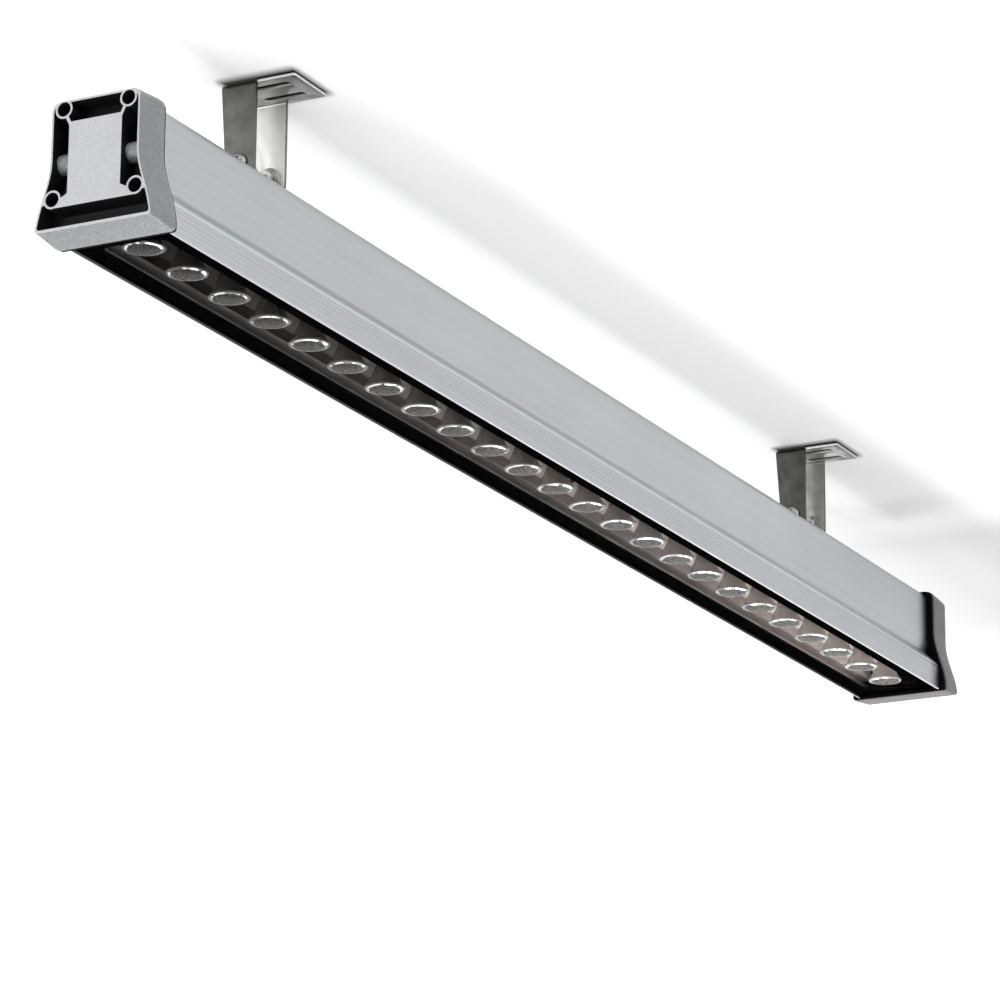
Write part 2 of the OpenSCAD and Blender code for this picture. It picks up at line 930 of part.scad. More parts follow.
module gland_seal() {
    color(black_rubber)
        difference() {
            rod_x(gland_seal_start, gland_seal_l, gland_seal_r);
            rod_x(gland_seal_start - over, gland_seal_l + 2 * over, gland_cable_r);
        }
}

module gland_dome_nut() {
    start = gland_washer_t + gland_flange_t + part_gap;
    room_l = gland_seal_start + gland_seal_l + part_gap - start;
    color("silver")
        difference() {
            union() {
                hex_x(start, gland_cap_l - 2 * gland_cap_bevel, gland_af);
                translate([start, 0, 0])
                    rotate([0, 90, 0])
                        rotate_extrude()
                            polygon([
                                [0, 0], [gland_af / 2, 0],
                                [gland_af / 2, gland_cap_l - gland_cap_bevel],
                                [gland_af / 2 - gland_cap_bevel, gland_cap_l], [0, gland_cap_l]]);
            }
            rod_x(start - over, room_l + over, gland_thread_r + 2 * thread_play);
            rod_x(start, gland_cap_l + over, gland_mouth_r);
        }
}

// Bracket: foot plate with two slots, and two ears bent down to the tilt screws
pivot_z = pivot_h - hang;
ear_low = pivot_z - ear_tail;
foot_front = foot_l - foot_back;

module ear_shape() {
    r = ear_corner_r;
    polygon(concat(
        [[-ear_front, -bend_r]],
        round_points([r - ear_front, ear_low + r], r, 180, 270, corner_steps),
        round_points([ear_back_low - r, ear_low + r], r, 270, 360, corner_steps),
        [[foot_back, -bend_r]]));
}

module bracket() {
    half = bracket_w / 2;
    difference() {
        union() {
            translate([-half + bend_r, -ear_front, -sheet_t])
                cube([bracket_w - 2 * bend_r, ear_front + foot_back, sheet_t]);
            translate([0, (-ear_front - foot_front) / 2, -sheet_t])
                rounded_slab(bracket_w, foot_front - ear_front, sheet_t, foot_corner_r);
            for (side = [-1, 1]) {
                along_x(side < 0 ? -half : half - sheet_t, sheet_t)
                    ear_shape();
                translate([side * (half - bend_r), -ear_front, -bend_r])
                    rotate([-90, 0, 0])
                        intersection() {
                            difference() {
                                cylinder(h = ear_front + foot_back, r = bend_r);
                                translate([0, 0, -over])
                                    cylinder(h = ear_front + foot_back + 2 * over, r = bend_r - sheet_t);
                            }
                            translate([side < 0 ? -bend_r : 0, -bend_r, 0])
                                cube([bend_r, bend_r, ear_front + foot_back]);
                        }
            }
        }
        for (x = [-slot_gap / 2, slot_gap / 2])
            translate([x, slot_mid_y, -sheet_t - over]) {
                for (y = [-1, 1])
                    translate([0, y * (slot_l - slot_w) / 2, 0])
                        cylinder(h = sheet_t + 2 * over, r = slot_w / 2);
                translate([-slot_w / 2, -(slot_l - slot_w) / 2, 0])
                    cube([slot_w, slot_l - slot_w, sheet_t + 2 * over]);
            }
        translate([0, 0, pivot_z])
            rod_x(-half - over, bracket_w + 2 * over, pivot_r + thread_play);
    }
}

// Lower base: slides on the profile, its ears stand inside the bracket's ears
base_low = part_gap - hang;
base_top = base_low + sheet_t;

module bracket_base() {
    difference() {
        union() {
            translate([-base_half, -base_len / 2, base_low])
                cube([2 * base_half, base_len, sheet_t]);
            for (x = [-base_half, base_half - sheet_t])
                along_x(x, sheet_t) {
                    polygon([
                        [-base_len / 2, base_low], [base_len / 2, base_low],
                        [base_len / 2, base_top], [base_ear_r, pivot_z],
                        [-base_ear_r, pivot_z], [-base_len / 2, base_top]]);
                    translate([0, pivot_z])
                        circle(r = base_ear_r);
                }
        }
        translate([0, 0, pivot_z])
            rod_x(-base_half - over, 2 * base_half + 2 * over, pivot_r + running_play);
        translate([0, 0, base_low - over])
            cylinder(h = sheet_t + 2 * over, r = bolt_r + part_gap);
    }
}

module slot_bolt() {
    head_top = -hang - slot_lip_t - part_gap;
    top = base_top + base_washer_t + base_nut_t + base_tail;
    translate([0, 0, head_top - bolt_head_h])
        cylinder(h = bolt_head_h, r = bolt_head_af / sqrt(3), $fn = 6);
    translate([0, 0, head_top - bolt_head_h / 2])
        cylinder(h = top - head_top + bolt_head_h / 2, r = bolt_r);
}

module slot_washer() {
    difference() {
        translate([0, 0, base_top])
            cylinder(h = base_washer_t, r = base_washer_r);
        translate([0, 0, base_top - over])
            cylinder(h = base_washer_t + 2 * over, r = bolt_r + thread_play);
    }
}

module slot_nut() {
    difference() {
        translate([0, 0, base_top + base_washer_t])
            cylinder(h = base_nut_t, r = base_nut_af / sqrt(3), $fn = 6);
        translate([0, 0, base_top + base_washer_t - over])
            cylinder(h = base_nut_t + 2 * over, r = bolt_r + thread_play);
    }
}

pivot_shank = 2 * sheet_t + 2 * part_gap + pivot_nut_t + pivot_tail;

module pivot_screws() {
    for (side = [-1, 1])
        translate([side * bracket_w / 2, 0, pivot_z])
            rotate([0, side * 90, 0])
                screw(pivot_head_r, pivot_head_h, pivot_r, pivot_shank);
}

module pivot_nuts() {
    nut_out = base_half - sheet_t - part_gap;
    for (side = [-1, 1])
        translate([0, 0, pivot_z])
            difference() {
                hex_x(side < 0 ? -nut_out : nut_out - pivot_nut_t, pivot_nut_t, pivot_nut_af);
                rod_x(side < 0 ? -nut_out - over : nut_out - pivot_nut_t - over,
                    pivot_nut_t + 2 * over, pivot_r + thread_play);
            }
}

bar() housing();
color(cast_grey) at_near_end() cap(false);  // near_end_cap
color(cast_grey) at_far_end() cap(true);  // far_end_cap
color(black_rubber) at_near_end() cap_gasket(false);  // near_cap_gasket
color(black_rubber) at_far_end() cap_gasket(true);  // far_cap_gasket
color(steel) at_near_end() cap_screws();  // near_cap_screws
color(steel) at_far_end() cap_screws();  // far_cap_screws
bar() cover_glass();
bar() glass_seal();
bar() led_board(-1);  // near_led_board
bar() led_board(1);  // far_led_board
color("gold") bar() along_board(-1) led_package();  // near_leds
color("gold") bar() along_board(1) led_package();  // far_leds
color(clear) bar() along_board(-1) lens();  // near_lenses
color(clear) bar() along_board(1) lens();  // far_lenses
bar() board_screws();
bar() board_link_leads();
bar() driver_case();
bar() driver_lid();
bar() driver_board();
bar() driver_transformer();
bar() driver_capacitors();
bar() driver_screws();
bar() driver_output_leads();
bar() driver_input_leads();
bar() terminal_block();
bar() earth_lead();
bar() earth_screw();
at_gland() gland_body();
at_gland() gland_washer();
at_gland() gland_lock_nut();
at_gland() gland_seal();
at_gland() gland_dome_nut();
color(steel) bracket_at(0) bracket();  // near_bracket
color(steel) bracket_at(0) bracket_base();  // near_bracket_base
color(steel) bracket_at(0) slot_bolt();  // near_slot_bolt
color(steel) bracket_at(0) slot_washer();  // near_slot_washer
color(steel) bracket_at(0) slot_nut();  // near_slot_nut
color(steel) bracket_at(0) pivot_screws();  // near_pivot_screws
color(steel) bracket_at(0) pivot_nuts();  // near_pivot_nuts
color(steel) bracket_at(bracket_spacing) bracket();  // far_bracket
color(steel) bracket_at(bracket_spacing) bracket_base();  // far_bracket_base
color(steel) bracket_at(bracket_spacing) slot_bolt();  // far_slot_bolt
color(steel) bracket_at(bracket_spacing) slot_washer();  // far_slot_washer
color(steel) bracket_at(bracket_spacing) slot_nut();  // far_slot_nut
color(steel) bracket_at(bracket_spacing) pivot_screws();  // far_pivot_screws
color(steel) bracket_at(bracket_spacing) pivot_nuts();  // far_pivot_nuts
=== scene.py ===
import json
import math

import bmesh
import bpy
from mathutils import Matrix, Vector

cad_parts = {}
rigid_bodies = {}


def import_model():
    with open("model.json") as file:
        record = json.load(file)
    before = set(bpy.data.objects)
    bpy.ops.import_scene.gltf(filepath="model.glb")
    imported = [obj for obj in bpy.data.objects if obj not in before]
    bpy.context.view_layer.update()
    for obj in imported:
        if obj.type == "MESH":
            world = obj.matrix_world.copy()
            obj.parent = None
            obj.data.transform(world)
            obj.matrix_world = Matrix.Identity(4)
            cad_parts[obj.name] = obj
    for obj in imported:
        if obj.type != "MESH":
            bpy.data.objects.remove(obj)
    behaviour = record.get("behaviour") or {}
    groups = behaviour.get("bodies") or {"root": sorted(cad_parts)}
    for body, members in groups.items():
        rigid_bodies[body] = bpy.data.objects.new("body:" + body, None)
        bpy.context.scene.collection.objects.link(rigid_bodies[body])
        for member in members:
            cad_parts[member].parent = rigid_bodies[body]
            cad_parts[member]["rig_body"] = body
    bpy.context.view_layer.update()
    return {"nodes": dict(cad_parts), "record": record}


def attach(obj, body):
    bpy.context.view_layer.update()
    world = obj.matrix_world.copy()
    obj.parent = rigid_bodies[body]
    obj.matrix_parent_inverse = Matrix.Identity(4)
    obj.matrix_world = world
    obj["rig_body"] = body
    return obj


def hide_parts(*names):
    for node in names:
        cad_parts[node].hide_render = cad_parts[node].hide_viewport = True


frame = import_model()
nodes = frame["nodes"]
MM = 0.001

# Camera, at the photograph's viewing angle
CAMERA_PLACE = Vector((-1801.9, -1071.6, -840.4)) * MM
CAMERA_AZIMUTH = math.radians(27.39)
CAMERA_RISE = math.radians(16.72)
CAMERA_ROLL = math.radians(0.41)
CAMERA_LENS = 162


def add_camera():
    data = bpy.data.cameras.new("camera")
    data.lens = CAMERA_LENS
    data.sensor_width = 36
    data.clip_end = 50
    camera = bpy.data.objects.new("camera", data)
    ahead = Vector((
        math.cos(CAMERA_RISE) * math.cos(CAMERA_AZIMUTH),
        math.cos(CAMERA_RISE) * math.sin(CAMERA_AZIMUTH),
        math.sin(CAMERA_RISE)))
    turn = ahead.to_track_quat("-Z", "Y").to_matrix() @ Matrix.Rotation(CAMERA_ROLL, 3, "Z")
    camera.matrix_world = Matrix.Translation(CAMERA_PLACE) @ turn.to_4x4()
    bpy.context.scene.collection.objects.link(camera)
    bpy.context.scene.camera = camera


# Node trees

class Tree:
    """Short ways to add and join the nodes of a material or the world."""

    def __init__(self, tree):
        self.tree = tree

    def add(self, kind, **values):
        node = self.tree.nodes.new(kind)
        for key, value in values.items():
            setattr(node, key, value)
        return node

    def join(self, source, target):
        self.tree.links.new(source, target)

    def calc(self, operation, first, *others):
        """A math node of one or two values, or a chain of nodes for more."""
        for other in others or (None,):
            node = self.add("ShaderNodeMath", operation=operation)
            for value, socket in zip((first, other), node.inputs):
                if isinstance(value, (int, float)):
                    socket.default_value = value
                elif value is not None:
                    self.join(value, socket)
            first = node.outputs["Value"]
        return first

    def spread(self, source, low, high, start=0.3, stop=0.7):
        """Maps a source from start..stop to low..high."""
        node = self.add("ShaderNodeMapRange")
        for socket, value in (
                ("From Min", start), ("From Max", stop), ("To Min", low), ("To Max", high)):
            node.inputs[socket].default_value = value
        self.join(source, node.inputs["Value"])
        return node.outputs["Result"]

    def seen(self):
        """1 for rays that see a backdrop: from the camera, a mirror or glass."""
        rays = self.add("ShaderNodeLightPath").outputs
        return self.calc(
            "MAXIMUM", rays["Is Camera Ray"], rays["Is Glossy Ray"], rays["Is Transmission Ray"])


class Shader(Tree):
    """A material with its main shader's values, such as Specular_IOR_Level=0.25."""

    def __init__(self, name, **values):
        self.material = bpy.data.materials.new(name)
        self.material.use_nodes = True
        super().__init__(self.material.node_tree)
        self.main = self.tree.nodes["Principled BSDF"]
        self.end = self.tree.nodes["Material Output"]
        self.place = self.add("ShaderNodeTexCoord").outputs["Object"]
        for socket, value in values.items():
            self.main.inputs[socket.replace("_", " ")].default_value = value

    def noise(self, scale, detail=3, stretch=(1, 1, 1)):
        """Noise of so many grains a metre, drawn out by stretch."""
        mapping = self.add("ShaderNodeMapping")
        mapping.inputs["Scale"].default_value = [scale / s for s in stretch]
        self.join(self.place, mapping.inputs["Vector"])
        noise = self.add("ShaderNodeTexNoise")
        noise.inputs["Scale"].default_value = 1
        noise.inputs["Detail"].default_value = detail
        self.join(mapping.outputs["Vector"], noise.inputs["Vector"])
        return noise.outputs["Fac"]

    def axis(self, name, piece=None):
        """A coordinate in the object's own space, or in another piece's."""
        place = self.place
        if piece is not None:
            place = self.add("ShaderNodeTexCoord", object=piece).outputs["Object"]
        split = self.add("ShaderNodeSeparateXYZ")
        self.join(place, split.inputs["Vector"])
        return split.outputs[name]

    def far_end(self, near, far, bend=1.0):
        """Painted light and shade: rises along the lens row from its near end to its far end."""
        along = self.calc("POWER", self.spread(self.axis("X"), 0, 1, *LENS_ROW), bend)
        return self.calc("ADD", near, self.calc("MULTIPLY", far - near, along))

    def tint(self, source, dark, light, start=0.3, stop=0.7, shade=None):
        """Colours by a source, darkened by a shade from 0 to 1."""
        ramp = self.add("ShaderNodeValToRGB")
        for element, position, colour in zip(
                ramp.color_ramp.elements, (start, stop), (dark, light)):
            element.position = position
            element.color = (*colour, 1)
        self.join(source, ramp.inputs["Fac"])
        colour = ramp.outputs["Color"]
        if shade is not None:
            node = self.add("ShaderNodeVectorMath", operation="SCALE")
            self.join(colour, node.inputs[0])
            self.join(shade, node.inputs["Scale"])
            colour = node.outputs["Vector"]
        self.join(colour, self.main.inputs["Base Color"])

    def rough(self, source, low, high):
        self.join(self.spread(source, low, high), self.main.inputs["Roughness"])

    def bump(self, source, depth, strength, shader=None):
        """Bumps so many metres deep, on the main shader or on another."""
        if shader is None:
            shader = self.main
        node = self.add("ShaderNodeBump")
        node.inputs["Distance"].default_value = depth
        node.inputs["Strength"].default_value = strength
        self.join(source, node.inputs["Height"])
        self.join(node.outputs["Normal"], shader.inputs["Normal"])

    def mix(self, share, first, second):
        node = self.add("ShaderNodeMixShader")
        for source, socket in zip((share, first, second), node.inputs):
            self.join(source, socket)
        return node.outputs["Shader"]

    def let_lamps_through(self, surface, colour):
        """Shadow rays pass the surface, so that lamps reach what is behind it."""
        clear = self.add("ShaderNodeBsdfTransparent")
        clear.inputs["Color"].default_value = colour
        shadow = self.add("ShaderNodeLightPath").outputs["Is Shadow Ray"]
        self.join(self.mix(shadow, surface, clear.outputs["BSDF"]), self.end.inputs["Surface"])


# Materials; heights and distances along the bar in metres
LENS_ROW = (-0.12, 0.82)
FAR_CAP_SHADOW = (0.814, 0.8305)
# Painted shadow: a foot's edge turns dark between these heights and above, where the foot meets
# the ceiling
FOOT_GAP_SHADOW = (-0.0009, -0.0006)


def grey(value):
    return (value, value, value)


def anodised_aluminium(name, dark, light):
    """Drawn and anodised profile, in shadow close to the far cap."""
    s = Shader(name, Metallic=0.9)
    lines = s.noise(700, stretch=(300, 1, 1))
    clouds = s.noise(14)
    far_shadow = s.spread(s.axis("X"), 1, 0.25, *FAR_CAP_SHADOW)
    s.tint(lines, dark, light, shade=far_shadow)
    s.rough(clouds, 0.36, 0.44)
    s.bump(lines, 0.00002, 0.3)
    return s.material


def cast_aluminium(name, dark, light):
    s = Shader(name, Metallic=0.2)
    grains = s.noise(1100, 6)
    clouds = s.noise(90)
    s.tint(grains, dark, light, 0.35, 0.65)
    s.rough(clouds, 0.42, 0.55)
    s.bump(grains, 0.0003, 0.6)
    return s.material


# Painted shade: near black for the caps' channels and screw ports and the tilt screws' cross
# slots, where shade falls in the hollows
def painted_recess_shade():
    s = Shader("painted_recess_shade", Specular_IOR_Level=0.25)
    grains = s.noise(1200, 4)
    s.tint(grains, grey(0.002), (0.008, 0.008, 0.0085))
    s.rough(grains, 0.45, 0.65)
    s.bump(grains, 0.0002, 0.6)
    return s.material


def black_rubber(name):
    s = Shader(name, Specular_IOR_Level=0.04)
    grains = s.noise(2500)
    s.tint(grains, grey(0.001), (0.004, 0.004, 0.0045))
    s.rough(grains, 0.5, 0.7)
    s.bump(grains, 0.00008, 0.5)
    return s.material


def black_seal(name):
    s = Shader(name, Specular_IOR_Level=0.0)
    grains = s.noise(900)
    s.tint(grains, grey(0.001), grey(0.003))
    s.rough(grains, 0.5, 0.7)
    s.bump(grains, 0.00005, 0.4)
    return s.material


def clear_glass(name):
    """Coated glass that bends light but hardly mirrors; lamps shine through it."""
    s = Shader(name)
    dust = s.noise(700)
    clear = s.add("ShaderNodeBsdfRefraction")
    clear.inputs["Color"].default_value = (0.96, 0.965, 0.965, 1)
    clear.inputs["Roughness"].default_value = 0.0
    clear.inputs["IOR"].default_value = 1.5
    shine = s.add("ShaderNodeBsdfGlossy")
    shine.inputs["Color"].default_value = (0.5, 0.5, 0.5, 1)
    s.join(s.spread(dust, 0.02, 0.08), shine.inputs["Roughness"])
    s.bump(dust, 0.00001, 0.2, shine)
    coated = s.mix(s.spread(dust, 0.001, 0.004), clear.outputs["BSDF"], shine.outputs["BSDF"])
    s.let_lamps_through(coated, (0.92, 0.93, 0.93, 1))
    s.tree.nodes.remove(s.main)
    return s.material


def clear_lens(name):
    s = Shader(name, IOR=1.49, Transmission_Weight=0.4, Specular_IOR_Level=0.25)
    grains = s.noise(500)
    # Painted light and shade: the lens cones are dark at the near end and light at the far end
    s.tint(grains, (0.78, 0.7, 0.665), (0.84, 0.765, 0.735), shade=s.far_end(0.03, 0.66))
    s.rough(grains, 0.08, 0.16)
    s.bump(grains, 0.00002, 0.2)
    s.let_lamps_through(s.main.outputs["BSDF"], (0.35, 0.35, 0.35, 1))
    return s.material


def lens_face():
    s = Shader("lens_face", Specular_IOR_Level=0.06)
    grains = s.noise(500)
    # Painted light and shade: the lens face is drawn opaque, dark at the near end and light at
    # the far end
    s.tint(grains, (0.26, 0.235, 0.222), (0.28, 0.256, 0.244), shade=s.far_end(0.05, 0.31))
    s.rough(grains, 0.2, 0.35)
    s.bump(grains, 0.00002, 0.1)
    return s.material


# Painted glints: bright patches on the lens rim stand in for highlights
def lens_rim_glints():
    s = Shader("lens_rim_glints", Metallic=0.9)
    painted_glints = s.noise(170, 2)
    s.tint(painted_glints, (0.12, 0.115, 0.11), grey(0.97), 0.46, 0.56)
    s.rough(painted_glints, 0.08, 0.2)
    s.bump(painted_glints, 0.0002, 0.5)
    return s.material


def chamber():
    s = Shader("chamber", Metallic=0.3)
    lines = s.noise(700, stretch=(300, 1, 1))
    # Painted light and shade: the chamber's walls are dark at the near end and light at the far
    # end
    s.tint(lines, (0.84, 0.77, 0.74), (0.95, 0.885, 0.86), shade=s.far_end(0.4, 1, 0.5))
    s.rough(lines, 0.35, 0.5)
    s.bump(lines, 0.00002, 0.4)
    return s.material


def circuit_board(name):
    s = Shader(name, Specular_IOR_Level=0.08)
    weave = s.noise(1400, 2, (1, 3, 1))
    # Painted light and shade on the board's own colour: dark at the near end, light at the far
    # end
    s.tint(weave, (0.72, 0.635, 0.6), (0.84, 0.755, 0.715), shade=s.far_end(0.015, 0.95, 1.7))
    s.rough(weave, 0.3, 0.5)
    s.bump(weave, 0.00003, 0.4)
    return s.material


def steel(name, dark, light, low, high, shadow_heights=None):
    """Brushed steel; where two heights are given, a painted shadow darkens it between them."""
    s = Shader(name, Metallic=1.0)
    brush = s.noise(1600, stretch=(1, 1, 60))
    blotch = s.noise(120, 5)
    shade = s.spread(s.axis("Z"), 1, 0.02, *shadow_heights) if shadow_heights else None
    s.tint(blotch, dark, light, shade=shade)
    s.rough(brush, low, high)
    s.bump(brush, 0.00004, 0.35)
    return s.material


def foot_steel(name, dark, light, low, high):
    """Steel of a bracket, whose topmost edge has a painted shadow: the dark line below the
    ceiling.
    """
    return steel(name, dark, light, low, high, FOOT_GAP_SHADOW)


def plastic(name, dark, light, roughness):
    s = Shader(name, Roughness=roughness)
    grains = s.noise(1500)
    s.tint(grains, dark, light)
    s.rough(grains, roughness - 0.08, roughness + 0.08)
    s.bump(grains, 0.00005, 0.4)
    return s.material


# The record's material slots
MATERIALS = {name: make(name, *values) for name, make, *values in (
    ("anodised_aluminium", anodised_aluminium, (0.385, 0.39, 0.403), (0.413, 0.419, 0.433)),
    ("cast_aluminium", cast_aluminium, (0.2, 0.205, 0.215), (0.36, 0.365, 0.375)),
    ("black_rubber", black_rubber),
    ("black_seal", black_seal),
    ("dark_steel", steel, grey(0.05), grey(0.1), 0.35, 0.5),
    ("clear_glass", clear_glass),
    ("clear_lens", clear_lens),
    ("circuit_board", circuit_board),
    ("led_package", plastic, (0.72, 0.6, 0.22), (0.82, 0.74, 0.4), 0.25),
    ("zinc_steel", steel, (0.5, 0.5, 0.48), (0.68, 0.68, 0.66), 0.28, 0.42),
    ("bright_steel", steel, grey(0.6), grey(0.75), 0.15, 0.28),
    ("brushed_stainless", foot_steel, (0.72, 0.72, 0.715), (0.8, 0.8, 0.795), 0.45, 0.6),
    ("lead_insulation", plastic, (0.35, 0.02, 0.02), (0.5, 0.05, 0.04), 0.4),
    ("driver_plastic", plastic, grey(0.55), grey(0.65), 0.45),
    ("winding_tape", plastic, (0.6, 0.42, 0.06), (0.72, 0.55, 0.14), 0.35),
    ("capacitor_sleeve", plastic, (0.01, 0.015, 0.04), (0.02, 0.03, 0.07), 0.3),
    ("terminal_plastic", plastic, (0.7, 0.67, 0.55), (0.8, 0.78, 0.68), 0.4),
    ("brass", steel, (0.6, 0.42, 0.14), (0.78, 0.6, 0.26), 0.25, 0.4),
    ("nickel_brass", steel, (0.58, 0.56, 0.52), (0.72, 0.7, 0.66), 0.2, 0.32),
)}

# Paint for parts of a piece, where the photo shows another tone
# Much of this paint is painted light: lit and shaded copies of one material, painted highlights,
# and painted black where shade falls in hollows
PAINTED_SHADE_BLACK = painted_recess_shade()
# Lit and shaded copies of the cast aluminium: the caps' outer faces painted lighter, their sides
# painted darker
LIT_CAP_FACE = cast_aluminium("cast_face_lit", (0.5, 0.502, 0.52), (0.6, 0.602, 0.62))
SHADED_CAP_SIDE = cast_aluminium("cast_side_shaded", (0.2, 0.205, 0.215), (0.3, 0.305, 0.315))
# Painted shade: the far cap and its sides are darker copies of the near cap's cast aluminium
SHADED_FAR_CAST = cast_aluminium("far_cast_shaded", (0.08, 0.075, 0.072), (0.14, 0.131, 0.127))
SHADED_FAR_SIDE = cast_aluminium("far_side_shaded", (0.1, 0.097, 0.097), (0.15, 0.146, 0.146))
# Painted highlight: a pale band along the profile above the grooved band
HIGHLIGHT_STRIP = anodised_aluminium("highlight_strip", (0.45, 0.487, 0.505), (0.5, 0.537, 0.555))
# Painted highlight: the lip of the profile, in a brighter copy of cast aluminium
LIP_HIGHLIGHT = cast_aluminium("lip", (0.5, 0.505, 0.52), (0.62, 0.625, 0.64))
CHAMBER = chamber()
LENS_FACE = lens_face()
LENS_RIM_GLINTS = lens_rim_glints()
# Lit and shaded copies of the brushed stainless: painted shade outside and under the foot, a
# painted highlight on the foot's edge, darker copies for the far bracket
SHADED_OUTER = foot_steel("brushed_outer_shaded", (0.1, 0.1, 0.097), (0.15, 0.15, 0.146), 0.3, 0.42)
SHADED_UNDER = foot_steel("brushed_under_shaded", (0.16, 0.16, 0.157), (0.32, 0.32, 0.315), 0.25, 0.38)
EDGE_HIGHLIGHT = foot_steel("edge_highlight", (0.72, 0.72, 0.71), (0.85, 0.85, 0.84), 0.35, 0.5)
FOOT_TOP = steel("plate_top", (0.5, 0.5, 0.495), (0.62, 0.62, 0.615), 0.4, 0.55)
SHADED_FAR_INNER = foot_steel("far_inner_shaded", (0.3, 0.3, 0.295), (0.44, 0.44, 0.43), 0.4, 0.55)
SHADED_FAR_OUTER = foot_steel("far_outer_shaded", (0.055, 0.055, 0.053), (0.1, 0.1, 0.097), 0.3, 0.42)
SHADED_FAR_UNDER = foot_steel("far_under_shaded", (0.38, 0.38, 0.375), (0.62, 0.62, 0.615), 0.25, 0.38)
BASE_STEEL = steel("base_steel", (0.16, 0.16, 0.157), (0.6, 0.6, 0.595), 0.3, 0.45)
SCREW_HEAD = steel("screw_head", grey(0.2), grey(0.5), 0.25, 0.4)
LINK_WIRE = plastic("link_wire", grey(0.01), grey(0.02), 0.4)


def dress(piece, *materials):
    piece.data.materials.clear()
    for material in materials:
        piece.data.materials.append(material)


def paint(piece, material, wanted):
    """Gives the faces that are wanted another of the piece's materials."""
    slot = piece.data.materials.find(material.name)
    for face in piece.data.polygons:
        if wanted(face.center, face.normal):
            face.material_index = slot


# Softened copies of CAD nodes: the same shape with rounded edges and smooth curves
SOFT_ANGLE = 35


def softened(node, width, segments=2):
    source = nodes[node]
    mesh = source.data.copy()
    piece = bpy.data.objects.new(node + "_soft", mesh)
    bpy.context.scene.collection.objects.link(piece)
    work = bmesh.new()
    work.from_mesh(mesh)
    bmesh.ops.remove_doubles(work, verts=work.verts, dist=0.000002)
    bmesh.ops.dissolve_limit(
        work, angle_limit=math.radians(0.6), verts=work.verts, edges=work.edges)
    work.to_mesh(mesh)
    work.free()
    bevel = piece.modifiers.new("edges", "BEVEL")
    bevel.width = width
    bevel.segments = segments
    bevel.limit_method = "ANGLE"
    bevel.angle_limit = math.radians(SOFT_ANGLE)
    bevel.use_clamp_overlap = True
    bevel.miter_outer = "MITER_ARC"
    apply_modifiers(piece)
    smooth_by_angle(piece, SOFT_ANGLE)
    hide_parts(node)
    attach(piece, source["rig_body"])
    return piece


def apply_modifiers(piece):
    bpy.context.view_layer.update()
    done = piece.evaluated_get(bpy.context.evaluated_depsgraph_get())
    mesh = bpy.data.meshes.new_from_object(done)
    piece.modifiers.clear()
    piece.data = mesh


def smooth_by_angle(piece, angle):
    work = bmesh.new()
    work.from_mesh(piece.data)
    limit = math.radians(angle)
    for face in work.faces:
        face.smooth = True
    for edge in work.edges:
        edge.smooth = len(edge.link_faces) == 2 and edge.calc_face_angle(0) < limit
    work.to_mesh(piece.data)
    work.free()


# End caps: the outer face and rims painted lighter as lit, the sides painted darker as shade,
# and the channel painted black as its shade. Sizes in mm
BAR_TOP = -53.5
CAP_RIM = 0.8 * 1.35
CAP_LOW = BAR_TOP - 65.1
CAP_TOP = BAR_TOP - 0.7
CAP_HALF_WIDTH = 24.5
FLARE = 7.45
FLARE_START = 30.5
FLARE_LENGTH = 35.2
CHANNEL_DEPTH = 16.9
HUMP_Z = BAR_TOP - 29.45
HUMP_HALF_HEIGHT = 5.2
HUMP_FROM_Y = 14.4
HUMP_FRONT = 3.5
HUMP_BACK = 12.9
SCREW_PORTS = [(17.75, -58.6), (22.65, -103.0)]
PORT_RADIUS = 3.7


def cap_half_width(z):
    """Half width of a cap's face at a height, both in mm: straight, then flared."""
    share = min(1, max(0, (BAR_TOP - z - FLARE_START) / FLARE_LENGTH))
    return CAP_HALF_WIDTH + FLARE * share * share * (3 - 2 * share)


def on_hump(depth, y, z, normal):
    """One of the two round humps that cross the channel's sides."""
    return (abs(normal.y) < 0.5 and abs(z - HUMP_Z) < HUMP_HALF_HEIGHT
            and y > HUMP_FROM_Y and HUMP_FRONT < depth < HUMP_BACK)


def in_channel(depth, y, z, normal):
    """Inside the channel or a screw port, but not on a hump."""
    inside = y < cap_half_width(z) - CAP_RIM and CAP_LOW + CAP_RIM < z < CAP_TOP - CAP_RIM
    in_port = any(math.hypot(y - port_y, z - port_z) < PORT_RADIUS
                  for port_y, port_z in SCREW_PORTS)
    return ((inside or in_port) and 0.5 < depth < CHANNEL_DEPTH
            and not on_hump(depth, y, z, normal))


def add_cap(node, face_x, way, body, side):
    """A cap whose face is at face_x, in mm; the bar lies behind it, on the side of way."""
    cap = softened(node, 0.0004)
    dress(cap, body, PAINTED_SHADE_BLACK, LIT_CAP_FACE, side)

    def place(centre):
        return way * (centre.x / MM - face_x), abs(centre.y) / MM, centre.z / MM

    # The channel and the screw ports are painted black as their shade
    paint(cap, PAINTED_SHADE_BLACK, lambda centre, normal: in_channel(*place(centre), normal))
    # The outer face and rims are painted lighter, as lit
    paint(cap, LIT_CAP_FACE, lambda centre, normal:
          way * normal.x < -0.6 and place(centre)[0] < 0.6)
    # The sides are painted darker, as shade
    paint(cap, side, lambda centre, normal:
          abs(normal.y) > 0.6 and abs(centre.y) / MM > cap_half_width(centre.z / MM) - 0.5)


# Housing: a painted highlight strip above the grooved band, a painted highlight on the lip, and
# the lens chamber
STRIP = (-106.4 * MM, -101.6 * MM)
STRIP_FROM_Y = 26.5 * MM
LIP_TOP = -117.4 * MM
LIP_FROM_Y = 26.9 * MM
ROOM = (-112 * MM, -90 * MM)
ROOM_HALF_WIDTH = 27.5 * MM


def looks_out(centre, normal, share):
    """Whether a face looks away from the middle plane by at least a share of 1."""
    return normal.y * centre.y >= share * abs(centre.y)


